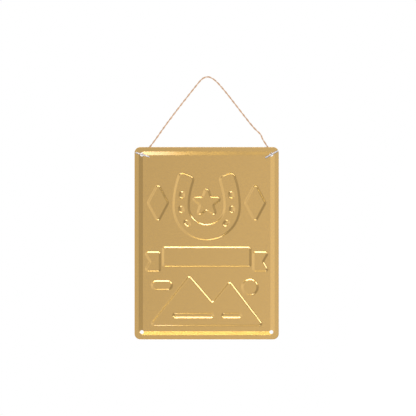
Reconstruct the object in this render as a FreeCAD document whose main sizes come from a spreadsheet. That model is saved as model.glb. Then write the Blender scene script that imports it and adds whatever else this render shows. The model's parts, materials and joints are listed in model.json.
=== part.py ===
"""Hanging metal sign: a pressed tin sheet with a cord loop held by two rolled bars.

The sign is seen from its back. X runs to the right, Y away from the viewer towards the sign's front
and Z up. The origin is the seat of the hook under the top of the cord loop. All sizes are in
millimetres.
"""
import FreeCAD, Part
import math
import os
import Sketcher
from FreeCAD import Placement, Rotation, Vector

DRIVING_SIZES = [
    ("sheet_width", 150.0, "overall width of the sheet"),
    ("sheet_height", 200.0, "overall height of the sheet"),
    ("sheet_thickness", 0.3, "tinplate gauge"),
    ("sheet_corner", 6.0, "corner radius of the sheet's outline"),
    ("rim_width", 4.3, "flat rim with its lip, from the outline to the border slope"),
    ("lip_bend", 1.0, "bend radius of the lip, at mid thickness"),
    ("lip_turn", 35.0, "degrees that the trimmed edge turns back towards the viewer"),
    ("border_width", 4.6, "width of the slope between rim and field"),
    ("border_depth", 1.2, "step between rim and field"),
    ("border_bend", 2.2, "bend radius of the border slope"),
    ("border_corner", 5.6, "corner radius where the rim meets the slope"),
    ("relief_depth", 0.75, "step between field and relief"),
    ("hole_diameter", 4.0, "punched corner holes"),
    ("hole_inset", 7.75, "hole centre from both edges of the sheet"),
    ("figures_width", 132.2, "width of the field that the figures below are drawn for"),
    ("figures_height", 182.2, "height of the field that the figures below are drawn for"),
    ("relief_width", 2.8, "width of a slope of the relief"),
    ("tip_width", 1.2, "blunt end of a pointed tip of the relief"),
    ("shoe_height", 38.0, "centre of the horseshoe's bend above the middle of the sheet"),
    ("shoe_radius", 33.0, "outer radius of the horseshoe's bend"),
    ("shoe_band", 13.0, "width of the horseshoe's band"),
    ("shoe_side_radius", 95.0, "outer radius of the horseshoe's sides"),
    ("shoe_side_turn", 21.0, "degrees of each side's arc"),
    ("shoe_end_corner", 3.0, "corner radius at the horseshoe's ends"),
    ("slot_length", 9.0, "overall length of a nail slot"),
    ("slot_width", 6.4, "overall width of a nail slot, slopes included"),
    ("star_height", 42.0, "centre of the large star above the middle of the sheet"),
    ("star_radius", 13.5, "large star from its centre to a tip"),
    ("diamond_reach", 50.5, "diamonds from the middle line"),
    ("diamond_height", 42.0, "centres of the diamonds above the middle of the sheet"),
    ("diamond_width", 18.0, "diamond, side to side"),
    ("diamond_length", 34.0, "diamond, top to bottom"),
    ("panel_drop", 14.0, "centre of the ribbon's panel below the middle of the sheet"),
    ("panel_length", 88.0, "ribbon's panel"),
    ("panel_height", 17.0, "ribbon's height, panel and tails"),
    ("tail_gap", 5.9, "valley between the panel and a tail"),
    ("tail_length", 12.0, "ribbon's tail"),
    ("tail_step", 5.0, "a tail below the panel"),
    ("tail_notch", 5.0, "depth of a tail's notch"),
    ("range_foot_drop", 84.0, "foot of the mountains below the middle of the sheet"),
    ("range_foot_length", 112.0, "mountains at their foot"),
    ("tall_peak_offset", -18.0, "tall peak from the middle line"),
    ("tall_peak_rise", 48.0, "tall peak above the foot"),
    ("saddle_offset", 6.0, "saddle from the middle line"),
    ("saddle_rise", 20.0, "saddle above the foot"),
    ("low_peak_offset", 24.0, "low peak from the middle line"),
    ("low_peak_rise", 42.0, "low peak above the foot"),
    ("ground_bar_rise", 9.0, "ground bars above the foot"),
    ("ground_bar_height", 6.4, "ground bar, slopes included"),
    ("long_bar_length", 44.0, "long ground bar"),
    ("long_bar_offset", -14.0, "centre of the long bar from the middle line"),
    ("short_bar_length", 22.0, "short ground bar"),
    ("short_bar_offset", 26.0, "centre of the short bar from the middle line"),
    ("sun_offset", 45.0, "sun from the middle line"),
    ("sun_drop", 45.5, "sun below the middle of the sheet"),
    ("sun_radius", 6.6, "sun"),
    ("cloud_offset", -46.5, "cloud from the middle line"),
    ("cloud_drop", 43.5, "cloud below the middle of the sheet"),
    ("cloud_length", 18.0, "cloud"),
    ("cloud_height", 6.0, "cloud"),
    ("hang_drop", 72.1, "hook seat down to the top edge of the sheet"),
    ("hang_offset", -1.3, "middle of the sheet beside the hook seat"),
    ("sheet_back", -0.5, "back face of the field, in front of the hook seat"),
    ("cord_diameter", 1.5, "two-ply natural cord"),
    ("toggle_length", 15.0, "rolled bar"),
    ("toggle_diameter", 2.0, "rolled bar"),
    ("toggle_wall", 0.25, "sheet that the bar is rolled from"),
    ("waist_diameter", 1.7, "bar where it is pinched round the cord"),
    ("waist_length", 2.0, "pinched stretch of the bar"),
    ("waist_taper", 1.8, "length over which the bar narrows to its waist"),
    ("saddle_depth", 0.5, "depth of the cord's seat in the waist"),
    ("saddle_clearance", 0.1, "seat wider than the cord, each side"),
    ("seam_gap", 0.16, "open seam of the rolled bar"),
    ("toggle_clearance", 0.2, "bar off the sheet it lies on"),
    ("left_toggle_turn", -17.4, "left bar's slope, degrees"),
    ("right_toggle_turn", 29.0, "right bar's slope, degrees"),
]

# Points of the cord from the left bar up to the hook and down to the right bar, as X, Y and Z.
CORD_ROUTE = [
    (-68.51, -0.94, -79.85),
    (-68.15, 2.62, -79.85),
    (-58.9, 2.4, -69.8),
    (-40.3, 1.5, -44.0),
    (-13.3, 0.35, -10.0),
    (-3.9, 0.0, 0.75),
    (4.6, 0.0, 0.75),
    (14.8, 0.35, -10.0),
    (39.1, 1.5, -41.5),
    (48.6, 1.9, -53.2),
    (55.1, 2.1, -59.4),
    (57.6, 2.3, -65.0),
    (65.48, 2.53, -79.85),
    (65.9, -1.06, -79.85),
]

document = FreeCAD.newDocument("hanging_sign")
sheet = document.addObject("Spreadsheet::Sheet", "sizes")
for row, (alias, number, note) in enumerate(DRIVING_SIZES, start=1):
    sheet.set(f"A{row}", alias)
    sheet.set(f"B{row}", str(number))
    sheet.set(f"C{row}", note)
    sheet.setAlias(f"B{row}", alias)
document.recompute()


def size(alias):
    """A driving size from the sheet."""
    return float(sheet.get(alias))


def field_size(alias):
    """The field's width or height, inside the foot of the border's slope."""
    return size(f"sheet_{alias}") - 2 * (size("rim_width") + size("border_width"))


def figure_size(alias):
    """A driving size of the figures, all drawn in proportion to the field that holds them."""
    across = field_size("width") / size("figures_width")
    along = field_size("height") / size("figures_height")
    return size(alias) * min(across, along)


# Outlines are closed chains of lines and tangent arcs, walked with the raised side on the left.
# Each stretch is (start, heading, length, radius, turn, mitres). A line has a length and, where it
# meets its neighbours in a sharp corner, the tangents of half the turns at its two ends. An arc has
# a radius and a turn in radians, positive to the left.

def ahead(point, heading, distance):
    """The point reached from another along a heading."""
    return (point[0] + distance * math.cos(heading), point[1] + distance * math.sin(heading))


def walk(start, heading, moves):
    """The outline that starts at a point and follows (length, radius, turn) moves."""
    outline = []
    point = start
    for length, radius, turn in moves:
        outline.append((point, heading, length, radius, turn, (0.0, 0.0)))
        if turn:
            side = math.copysign(math.pi / 2, turn)
            centre = ahead(point, heading + side, radius)
            heading += turn
            point = ahead(centre, heading - side, radius)
        else:
            point = ahead(point, heading, length)
    return outline


def line(length):
    return (length, 0.0, 0.0)


def arc(radius, degrees):
    return (0.0, radius, math.radians(degrees))


def polygon(corners):
    """A polygon walked to the left, with sharp corners."""
    count = len(corners)
    headings, lengths = [], []
    for index, corner in enumerate(corners):
        following = corners[(index + 1) % count]
        run = (following[0] - corner[0], following[1] - corner[1])
        headings.append(math.atan2(run[1], run[0]))
        lengths.append(math.hypot(*run))
    turns = [math.remainder(headings[i] - headings[i - 1], math.tau) for i in range(count)]
    mitres = [math.tan(turn / 2) for turn in turns]
    outline = []
    for index, corner in enumerate(corners):
        ends = (mitres[index], mitres[(index + 1) % count])
        outline.append((corner, headings[index], lengths[index], 0.0, 0.0, ends))
    return outline


def blunted(corners):
    """Polygon corners with each tip of less than 60 degrees cut off square."""
    cut = []
    for index, corner in enumerate(corners):
        back, on = corners[index - 1], corners[(index + 1) % len(corners)]
        behind = math.atan2(back[1] - corner[1], back[0] - corner[0])
        before = math.atan2(on[1] - corner[1], on[0] - corner[0])
        tip = (behind - before) % math.tau
        if tip < math.radians(60):
            setback = figure_size("tip_width") / 2 / math.sin(tip / 2)
            cut += [ahead(corner, behind, setback), ahead(corner, before, setback)]
        else:
            cut.append(corner)
    return cut


def box(width, height, corner):
    """A rectangle with rounded corners about the middle of the sheet."""
    sides = [line(width - 2 * corner), line(height - 2 * corner)] * 2
    moves = [move for side in sides for move in (side, arc(corner, 90))]
    return walk((corner - width / 2, -height / 2), 0.0, moves)


def capsule(centre, heading, length, width):
    """A bar with round ends."""
    radius = width / 2
    start = ahead(centre, heading + math.pi, length / 2 - radius)
    start = ahead(start, heading - math.pi / 2, radius)
    straight = line(length - width)
    return walk(start, heading, [straight, arc(radius, 180), straight, arc(radius, 180)])


def disc(centre, radius):
    start = ahead(centre, -math.pi / 2, radius)
    return walk(start, 0.0, [arc(radius, 180), arc(radius, 180)])


def mirrored(corners):
    """Polygon corners on the other side of the middle line."""
    return [(-x, z) for x, z in reversed(corners)]


def sideways(stretch, offset):
    """A stretch moved to its right: its start, end, centre and middle, the last two for an arc."""
    point, heading, length, radius, turn, mitres = stretch
    if not turn:
        base = ahead(point, heading - math.pi / 2, offset)
        start = ahead(base, heading, -offset * mitres[0])
        return start, ahead(base, heading, length + offset * mitres[1]), None, None
    hand = math.copysign(1.0, turn)
    centre = ahead(point, heading + hand * math.pi / 2, radius)
    reach = radius + hand * offset
    angle = heading - hand * math.pi / 2
    return (
        ahead(centre, angle, reach),
        ahead(centre, angle + turn, reach),
        centre,
        ahead(centre, angle + turn / 2, reach),
    )


def contour(outline, offset, depth):
    """The closed wire of an outline moved outwards, at one depth."""
    edges = []
    for stretch in outline:
        start, end, centre, middle = sideways(stretch, offset)
        points = [Vector(x, depth, z) for x, z in (start, end)]
        if centre is None:
            edges.append(Part.makeLine(*points))
        else:
            waypoint = Vector(middle[0], depth, middle[1])
            edges.append(Part.Arc(points[0], waypoint, points[1]).toShape())
    return Part.Wire(edges)


def walls(outline, section):
    """The faces that a section of (offset, depth) chains sweeps along an outline."""
    faces = []
    for stretch in outline:
        point, heading, length, radius, turn, mitres = stretch
        right = (math.sin(heading), -math.cos(heading))
        for chain in section:
            if any(mitres):
                faces.append(mitred_wall(stretch, chain))
                continue
            points = [Vector(point[0] + u * right[0], y, point[1] + u * right[1]) for u, y in chain]
            edge = Part.makeLine(*points) if len(points) == 2 else Part.Arc(*points).toShape()
            if turn:
                centre = sideways(stretch, 0.0)[2]
                axis = Vector(0, -math.copysign(1.0, turn), 0)
                swept = edge.revolve(Vector(centre[0], 0, centre[1]), axis, math.degrees(abs(turn)))
            else:
                run = ahead((0.0, 0.0), heading, length)
                swept = edge.extrude(Vector(run[0], 0, run[1]))
            faces += swept.Faces
    return faces


def mitred_wall(stretch, chain):
    """The flat wall of a line between sharp corners, for a straight chain of two points."""
    (near, near_depth), (far, far_depth) = chain
    first, second = sideways(stretch, near)[:2]
    third, fourth = sideways(stretch, far)[:2]
    corners = [Vector(x, near_depth, z) for x, z in (first, second)]
    corners += [Vector(x, far_depth, z) for x, z in (fourth, third)]
    return Part.Face(Part.makePolygon(corners + corners[:1]))


def flat(outer, openings=()):
    """A flat face between closed wires."""
    return Part.makeFace([outer, *openings], "Part::FaceMakerBullseye")


def slope_angle(width, depth, bend):
    """The slope of a step made of two equal bends with a straight stretch between them."""
    reach = math.hypot(width, 2 * bend - depth)
    return math.atan2(width, 2 * bend - depth) - math.acos(2 * bend / reach)


def bow(centre, radius, first, last):
    """Three points of an arc of a section, by its angles from the depth direction."""
    offset, depth = centre
    angles = (first, (first + last) / 2, last)
    return [(offset + radius * math.sin(a), depth + radius * math.cos(a)) for a in angles]


def crease_section(direction):
    """Both faces of a relief slope: from its raised side, at the outline, down to the field."""
    width, depth = direction * figure_size("relief_width"), size("relief_depth")
    thickness = size("sheet_thickness")
    return [[(0.0, depth + level), (width, level)] for level in (0.0, thickness)]


def step_section(width, depth, bend, direction):
    """Both faces of the border's step: from the rim, at the outline, to the field."""
    thickness = size("sheet_thickness")
    angle = slope_angle(width, depth, bend)
    section = []
    for level, shoulder, foot in (
        (0.0, bend - thickness / 2, bend + thickness / 2),
        (thickness, bend + thickness / 2, bend - thickness / 2),
    ):
        upper = bow((0.0, depth + level - shoulder), shoulder, 0.0, angle)
        lower = bow((width, level + foot), foot, math.pi + angle, math.pi)
        section += [upper, [upper[-1], lower[0]], lower]
    return [[(direction * u, y) for u, y in chain] for chain in section]


def lip_section():
    """Both faces of the turned edge and the trimmed end between them."""
    thickness = size("sheet_thickness")
    bend = size("lip_bend")
    centre = (0.0, size("border_depth") + thickness / 2 - bend)
    turn = math.radians(size("lip_turn"))
    back = bow(centre, bend - thickness / 2, 0.0, turn)
    front = bow(centre, bend + thickness / 2, 0.0, turn)
    return [back, [back[-1], front[-1]], front]


def star(centre, radius):
    """A regular five-pointed star, its inner corners on the lines between its tips."""
    inner = radius * math.cos(math.radians(72)) / math.cos(math.radians(36))
    corners = []
    for index in range(10):
        reach = inner if index % 2 else radius
        corners.append(ahead(centre, math.pi / 2 + index * math.pi / 5, reach))
    return corners


def horseshoe():
    """The horseshoe's band: a round bend, two sides that close in and two square ends."""
    outer, band = figure_size("shoe_radius"), figure_size("shoe_band")
    side, corner = figure_size("shoe_side_radius"), figure_size("shoe_end_corner")
    turn = math.radians(figure_size("shoe_side_turn"))
    outer_reach, inner_reach = side - corner, side - band + corner
    outer_lag, inner_lag = math.asin(corner / outer_reach), math.asin(corner / inner_reach)
    end = math.sqrt(outer_reach**2 - corner**2) - math.sqrt(inner_reach**2 - corner**2)
    half = [
        (0.0, outer, math.pi / 2),
        (0.0, side, turn - outer_lag),
        (0.0, corner, math.pi / 2 + outer_lag),
        line(end),
        (0.0, corner, math.pi / 2 - inner_lag),
        (0.0, side - band, inner_lag - turn),
        (0.0, outer - band, -math.pi / 2),
    ]
    return walk((0.0, figure_size("shoe_height") - outer), 0.0, half + half[::-1])


def slab(centre, heading, length, width):
    """A rectangle with sharp corners, its length along a heading."""
    corners = []
    for along, across in ((-1, -1), (1, -1), (1, 1), (-1, 1)):
        middle = ahead(centre, heading, along * length / 2)
        corners.append(ahead(middle, heading + math.pi / 2, across * width / 2))
    return polygon(corners)


def nail_slots():
    """Three slots on each side of the horseshoe, along the middle of its band."""
    middle = figure_size("shoe_band") / 2
    bend = figure_size("shoe_radius") - middle
    side = figure_size("shoe_side_radius") - middle
    base = (0.0, figure_size("shoe_height"))
    slots = []
    for hand in (-1, 1):
        side_centre = (hand * (bend - side), base[1])
        for centre, radius, angle in (
            (base, bend, -40),
            (base, bend, -6),
            (side_centre, side, 8),
        ):
            bearing = math.radians(angle if hand > 0 else 180 - angle)
            place = ahead(centre, bearing, radius)
            slots.append(slab(place, bearing + math.pi / 2, figure_size("slot_length"), figure_size("slot_width")))
    return slots


def diamond():
    """The diamond at the right of the horseshoe."""
    reach, level = figure_size("diamond_reach"), figure_size("diamond_height")
    half_width, half_length = figure_size("diamond_width") / 2, figure_size("diamond_length") / 2
    return [
        (reach, level - half_length),
        (reach + half_width, level),
        (reach, level + half_length),
        (reach - half_width, level),
    ]


def ribbon_tail():
    """The ribbon's right tail, with its notch."""
    half = figure_size("panel_height") / 2
    middle = -figure_size("panel_drop") - figure_size("tail_step")
    near = figure_size("panel_length") / 2 + figure_size("tail_gap")
    far = near + figure_size("tail_length")
    return [
        (near, middle - half),
        (far, middle - half),
        (far - figure_size("tail_notch"), middle),
        (far, middle + half),
        (near, middle + half),
    ]


def mountains():
    """Two peaks on one foot."""
    foot = -figure_size("range_foot_drop")
    half = figure_size("range_foot_length") / 2
    return [
        (-half, foot),
        (half, foot),
        (figure_size("low_peak_offset"), foot + figure_size("low_peak_rise")),
        (figure_size("saddle_offset"), foot + figure_size("saddle_rise")),
        (figure_size("tall_peak_offset"), foot + figure_size("tall_peak_rise")),
    ]


def ground_bars():
    """The two sunk bars across the mountains' foot."""
    level = figure_size("ground_bar_rise") - figure_size("range_foot_drop")
    height = figure_size("ground_bar_height")
    return [
        slab((figure_size("long_bar_offset"), level), 0.0, figure_size("long_bar_length"), height),
        slab((figure_size("short_bar_offset"), level), 0.0, figure_size("short_bar_length"), height),
    ]


def relief_figures():
    """Each raised figure with the sunk figures inside it, about the middle of the sheet."""
    sun = disc((figure_size("sun_offset"), -figure_size("sun_drop")), figure_size("sun_radius"))
    cloud = capsule((figure_size("cloud_offset"), -figure_size("cloud_drop")), 0.0,
                    figure_size("cloud_length"), figure_size("cloud_height"))
    panel = slab((0.0, -figure_size("panel_drop")), 0.0,
                 figure_size("panel_length"), figure_size("panel_height"))
    figures = [
        (horseshoe(), nail_slots()),
        (polygon(blunted(mountains())), ground_bars()),
        (panel, []),
        (sun, []),
        (cloud, []),
    ]
    for corners in (
        star((0.0, figure_size("star_height")), figure_size("star_radius")),
        diamond(),
        mirrored(diamond()),
        ribbon_tail(),
        mirrored(ribbon_tail()),
    ):
        figures.append((polygon(blunted(corners)), []))
    return figures


def pressed_sheet():
    """The whole sheet as one solid of even thickness, about its own middle."""
    thickness = size("sheet_thickness")
    border_depth, relief_depth = size("border_depth"), size("relief_depth")
    border_width, relief_width = size("border_width"), figure_size("relief_width")
    lip_reach = (size("lip_bend") + thickness / 2) * math.sin(math.radians(size("lip_turn")))
    width, height = size("sheet_width"), size("sheet_height")
    lip = box(width - 2 * lip_reach, height - 2 * lip_reach, size("sheet_corner") - lip_reach)
    rim = size("rim_width")
    border = box(width - 2 * rim, height - 2 * rim, size("border_corner"))
    border_step = step_section(border_width, border_depth, size("border_bend"), -1)
    rise, sink = crease_section(1), crease_section(-1)
    figures = relief_figures()
    faces = walls(lip, lip_section()) + walls(border, border_step)
    for raised, sunk in figures:
        faces += walls(raised, rise)
        for hollow in sunk:
            faces += walls(hollow, sink)
    for level in (0.0, thickness):
        top = border_depth + level
        faces.append(flat(contour(lip, 0.0, top), [contour(border, 0.0, top)]))
        feet = [contour(raised, relief_width, level) for raised, sunk in figures]
        faces.append(flat(contour(border, -border_width, level), feet))
        top = relief_depth + level
        for raised, sunk in figures:
            openings = [contour(hollow, 0.0, top) for hollow in sunk]
            faces.append(flat(contour(raised, 0.0, top), openings))
            for hollow in sunk:
                faces.append(flat(contour(hollow, -relief_width, level)))
    skin = Part.makeCompound(faces)
    skin.sewShape()
    solid = Part.Solid(skin.Shells[0])
    if solid.Volume < 0:
        solid.reverse()
    return solid


def bound(thing, bindings):
    """Ties properties of an object to expressions of the sheet's sizes."""
    for name, expression in bindings.items():
        thing.setExpression(name, expression)
    return thing


def sign_plate():
    """The pressed sheet with its four corner holes."""
    pressed = document.addObject("Part::Feature", "pressed_sheet")
    pressed.Shape = pressed_sheet()
    middle = "-sizes.hang_drop - sizes.sheet_height / 2"
    bound(pressed, {
        "Placement.Base.x": "sizes.hang_offset",
        "Placement.Base.y": "sizes.sheet_back",
        "Placement.Base.z": middle,
    })
    punches = []
    for name, across, up in (
        ("top_left_punch", -1, 1),
        ("top_right_punch", 1, 1),
        ("bottom_left_punch", -1, -1),
        ("bottom_right_punch", 1, -1),
    ):
        punch = document.addObject("Part::Cylinder", name)
        punch.Placement = Placement(Vector(), Rotation(Vector(1, 0, 0), -90))
        bound(punch, {
            "Radius": "sizes.hole_diameter / 2",
            "Height": "2 * sizes.border_depth + 2 * sizes.sheet_thickness",
            "Placement.Base.x":
                f"sizes.hang_offset + {across} * (sizes.sheet_width / 2 - sizes.hole_inset)",
            "Placement.Base.y": "sizes.sheet_back - sizes.border_depth / 2",
            "Placement.Base.z": f"{middle} + {up} * (sizes.sheet_height / 2 - sizes.hole_inset)",
        })
        punches.append(punch)
    holes = document.addObject("Part::MultiFuse", "corner_punches")
    holes.Shapes = punches
    plate = document.addObject("Part::Cut", "sign_plate")
    plate.Base = pressed
    plate.Tool = holes
    plate.Label = "sign_plate"
    return plate


def origin_feature(body, role):
    """One of a body's own base planes or axes."""
    return next(feature for feature in body.Origin.OriginFeatures if feature.Role == role)


def sketch_on(body, role, name):
    """An empty sketch on one of a body's own base planes."""
    sketch = body.newObject("Sketcher::SketchObject", name)
    sketch.AttachmentSupport = [(origin_feature(body, role), "")]
    sketch.MapMode = "FlatFace"
    return sketch


def draw_polygon(sketch, points):
    """Draws a closed polygon whose corners are joined; line i starts at point i."""
    for index, point in enumerate(points):
        following = points[(index + 1) % len(points)]
        sketch.addGeometry(Part.LineSegment(Vector(*point, 0), Vector(*following, 0)))
    for index in range(len(points)):
        following = (index + 1) % len(points)
        sketch.addConstraint(Sketcher.Constraint("Coincident", index, 2, following, 1))


def pin_corner(sketch, index, name, across, up):
    """Fixes the start of a line at two expressions, measured from the sketch's origin."""
    for axis, expression in (("DistanceX", across), ("DistanceY", up)):
        number = sketch.addConstraint(Sketcher.Constraint(axis, -1, 1, index, 1, 1.0))
        label = f"{name}_{axis}"
        sketch.renameConstraint(number, label)
        sketch.setExpression(f"Constraints.{label}", expression)


def mirror_corner(sketch, index, twin):
    """Fixes the start of a line as the mirror image of another's across the upright axis."""
    sketch.addConstraint(Sketcher.Constraint("Symmetric", index, 1, twin, 1, -2))


def bar_section(body):
    """Half of the bar's section: a hollow tube, closed where it is pinched."""
    sketch = sketch_on(body, "XY_Plane", "bar_section")
    guide = [(1, 0), (3, 0.7), (7, 0.7), (7, 1), (3, 1), (1, 0.8)]
    draw_polygon(sketch, guide + [(-x, y) for x, y in reversed(guide)])
    waist = "sizes.waist_length / 2"
    taper = f"{waist} + sizes.waist_taper"
    bore = "sizes.toggle_diameter / 2 - sizes.toggle_wall"
    radius = "sizes.toggle_diameter / 2"
    end = "sizes.toggle_length / 2"
    corners = [
        ("waist_bore", waist, None),
        ("taper_bore", taper, bore),
        ("end_bore", end, bore),
        ("end_edge", end, radius),
        ("taper_edge", taper, radius),
        ("waist_edge", waist, "sizes.waist_diameter / 2"),
    ]
    for index, (name, across, up) in enumerate(corners):
        if up is None:
            sketch.addConstraint(Sketcher.Constraint("PointOnObject", index, 1, -1))
            number = sketch.addConstraint(Sketcher.Constraint("DistanceX", -1, 1, index, 1, 1.0))
            sketch.renameConstraint(number, name)
            sketch.setExpression(f"Constraints.{name}", across)
        else:
            pin_corner(sketch, index, name, across, up)
        mirror_corner(sketch, 2 * len(corners) - 1 - index, index)
    return sketch


def rectangle(sketch, name, left, right, low, high):
    """A rectangle pinned at two opposite corners, as (sign, expression) pairs from the origin."""
    draw_polygon(sketch, [(-1, -1), (1, -1), (1, 1), (-1, 1)])
    for index in (0, 2):
        sketch.addConstraint(Sketcher.Constraint("Horizontal", index))
        sketch.addConstraint(Sketcher.Constraint("Vertical", index + 1))
    for side, axis, index in (
        (left, "DistanceX", 0),
        (right, "DistanceX", 2),
        (low, "DistanceY", 0),
        (high, "DistanceY", 2),
    ):
        sign, expression = side
        ends = (-1, 1, index, 1) if sign > 0 else (index, 1, -1, 1)
        number = sketch.addConstraint(Sketcher.Constraint(axis, *ends, 1.0))
        label = f"{name}_{axis}_{index}"
        sketch.renameConstraint(number, label)
        sketch.setExpression(f"Constraints.{label}", expression)


def rolled_bar(name, turn_alias, hand):
    """A bar rolled from strip, open at its ends and its seam, pinched shut round the cord.

    Its length is X, the seam and the cord's seat face Y. It leans over the top corner hole, with one
    end down on the rim and its middle on the edge of the field.
    """
    body = document.addObject("PartDesign::Body", name)
    body.Label = name
    section = bar_section(body)
    tube = body.newObject("PartDesign::Revolution", "tube")
    tube.Profile = section
    tube.ReferenceAxis = (origin_feature(body, "X_Axis"), [""])
    tube.Angle = 360
    slit = sketch_on(body, "XZ_Plane", "seam_outline")
    half_gap = "sizes.seam_gap / 2"
    half_length = "sizes.toggle_length / 2 + sizes.toggle_wall"
    rectangle(slit, "seam", (-1, half_length), (1, half_length), (-1, half_gap), (1, half_gap))
    seam = body.newObject("PartDesign::Pocket", "seam")
    seam.Profile = slit
    bound(seam, {"Length": "sizes.toggle_diameter"})
    notch = sketch_on(body, "XY_Plane", "seat_outline")
    half_seat = "sizes.cord_diameter / 2 + sizes.saddle_clearance"
    floor = "sizes.waist_diameter / 2 - sizes.saddle_depth"
    rectangle(notch, "seat", (-1, half_seat), (1, half_seat), (1, floor), (1, "sizes.toggle_diameter"))
    seat = body.newObject("PartDesign::Pocket", "seat")
    seat.Profile = notch
    seat.SideType = "Symmetric"
    bound(seat, {"Length": "2 * sizes.toggle_diameter"})
    body.Tip = seat
    shoulder = (
        "max(sizes.hole_diameter / 2; (sizes.rim_width + sizes.border_width - sizes.hole_inset)"
        f" / sin(abs(sizes.{turn_alias}) * 1 deg))"
    )
    lean = f"atan(sizes.border_depth / (sizes.toggle_length / 2 + {shoulder}))"
    corner = "(sizes.sheet_width / 2 - sizes.hole_inset)"
    bound(body, {
        "Placement.Base.x": f"sizes.hang_offset + {hand} * {corner}",
        "Placement.Base.y": (
            "sizes.sheet_back - sizes.toggle_clearance"
            f" - sizes.toggle_diameter / 2 / cos({lean}) + {shoulder} * tan({lean})"
        ),
        "Placement.Base.z": "-sizes.hang_drop - sizes.hole_inset",
        "Placement.Rotation.Yaw": f"{hand} * {lean}",
        "Placement.Rotation.Pitch": f"-sizes.{turn_alias} * 1 deg",
    })
    return body


def cord_path():
    """The cord's centre line: straight runs joined by tangent arcs as large as the runs allow."""
    points = [Vector(*point) for point in CORD_ROUTE]
    edges, radii = [], []
    reached = points[0]
    for before, corner, after in zip(points, points[1:], points[2:]):
        incoming, outgoing = corner - before, after - corner
        shorter = min(incoming.Length, outgoing.Length)
        turn = incoming.getAngle(outgoing)
        reach = 0.45 * shorter
        radius = reach / math.tan(turn / 2)
        start = corner - incoming.normalize() * reach
        end = corner + outgoing.normalize() * reach
        inward = (outgoing - incoming).normalize()
        middle = corner + inward * (math.hypot(radius, reach) - radius)
        edges.append(Part.makeLine(reached, start))
        edges.append(Part.Arc(start, middle, end).toShape())
        radii.append(radius)
        reached = end
    edges.append(Part.makeLine(reached, points[-1]))
    return Part.Wire(edges), radii


def hanging_cord():
    """The cord as a plain tube from seat to seat."""
    path, radii = cord_path()
    start, onward = (Vector(*point) for point in CORD_ROUTE[:2])
    radius = size("cord_diameter") / 2
    ring = Part.Wire([Part.makeCircle(radius, start, onward - start)])
    tube = path.makePipeShell([ring], True, False)
    volume = math.pi * radius**2 * path.Length
    print("cord length", round(path.Length, 1), "radii", [round(value, 1) for value in radii])
    print("cord volume", round(tube.Volume, 2), "section times length", round(volume, 2))
    cord = document.addObject("Part::Feature", "hanging_cord")
    cord.Shape = tube
    cord.Label = "hanging_cord"
    return cord


pieces = [
    sign_plate(),
    hanging_cord(),
    rolled_bar("left_toggle", "left_toggle_turn", -1),
    rolled_bar("right_toggle", "right_toggle_turn", 1),
]
document.recompute()
for thing in document.Objects:
    if {"Invalid", "Error"} & set(thing.State):
        raise RuntimeError(f"{thing.Name} did not build: {thing.State}")
for piece in pieces:
    if piece.Shape.isNull() or not piece.Shape.isValid() or len(piece.Shape.Solids) != 1:
        raise RuntimeError(f"{piece.Label} is not one sound solid")
os.makedirs("parts", exist_ok=True)
for piece in pieces:
    piece.Shape.exportStep(f"parts/{piece.Label}.step")
    print(piece.Label, "volume", round(piece.Shape.Volume, 2))
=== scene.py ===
"""Hanging metal sign: a pressed tin sheet in gold lacquer on a twisted cord with two rolled bars.

The sign is seen from its back. X runs to the right, Y away from the viewer and Z up, in metres.
Outlines on the sheet are in millimetres about its middle, and depths in millimetres behind the
field that lies nearest to the viewer.
"""

import json
import math

import bmesh
import bpy
import numpy as np
from bpy.props import FloatProperty, FloatVectorProperty, IntProperty, PointerProperty
from mathutils import Matrix, Vector, geometry, kdtree, noise

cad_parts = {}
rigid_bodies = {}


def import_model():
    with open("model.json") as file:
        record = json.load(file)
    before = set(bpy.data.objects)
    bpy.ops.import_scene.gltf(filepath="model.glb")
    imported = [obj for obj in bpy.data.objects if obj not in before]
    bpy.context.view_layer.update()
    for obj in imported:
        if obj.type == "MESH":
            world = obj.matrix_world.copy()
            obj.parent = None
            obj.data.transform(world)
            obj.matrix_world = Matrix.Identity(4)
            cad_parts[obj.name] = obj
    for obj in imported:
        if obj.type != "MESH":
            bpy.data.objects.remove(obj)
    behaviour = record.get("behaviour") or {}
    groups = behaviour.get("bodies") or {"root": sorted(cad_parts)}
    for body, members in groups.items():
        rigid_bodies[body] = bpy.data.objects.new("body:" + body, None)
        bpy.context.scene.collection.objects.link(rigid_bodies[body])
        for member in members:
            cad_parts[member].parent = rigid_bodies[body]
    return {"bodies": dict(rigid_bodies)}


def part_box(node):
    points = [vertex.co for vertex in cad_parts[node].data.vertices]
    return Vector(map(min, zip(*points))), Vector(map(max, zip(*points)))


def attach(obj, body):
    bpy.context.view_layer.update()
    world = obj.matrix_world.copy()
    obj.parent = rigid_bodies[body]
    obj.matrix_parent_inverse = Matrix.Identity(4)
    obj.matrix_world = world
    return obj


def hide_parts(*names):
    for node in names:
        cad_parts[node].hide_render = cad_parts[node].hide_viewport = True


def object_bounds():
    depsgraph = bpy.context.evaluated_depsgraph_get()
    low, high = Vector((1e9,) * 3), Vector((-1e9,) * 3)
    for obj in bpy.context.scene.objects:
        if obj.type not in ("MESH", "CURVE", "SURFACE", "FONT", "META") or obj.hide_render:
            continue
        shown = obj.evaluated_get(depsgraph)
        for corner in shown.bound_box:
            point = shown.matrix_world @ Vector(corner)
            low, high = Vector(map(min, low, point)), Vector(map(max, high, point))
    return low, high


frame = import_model()
CAD_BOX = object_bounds()

bl_info = {
    "name": "Hanging Metal Sign",
    "version": (1, 0, 0),
    "blender": (4, 5, 0),
    "location": "3D View > Sidebar > Sign",
    "description": "Builds a pressed tin sign with its cord, rolled bars, materials and stage",
    "category": "Object",
}

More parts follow.
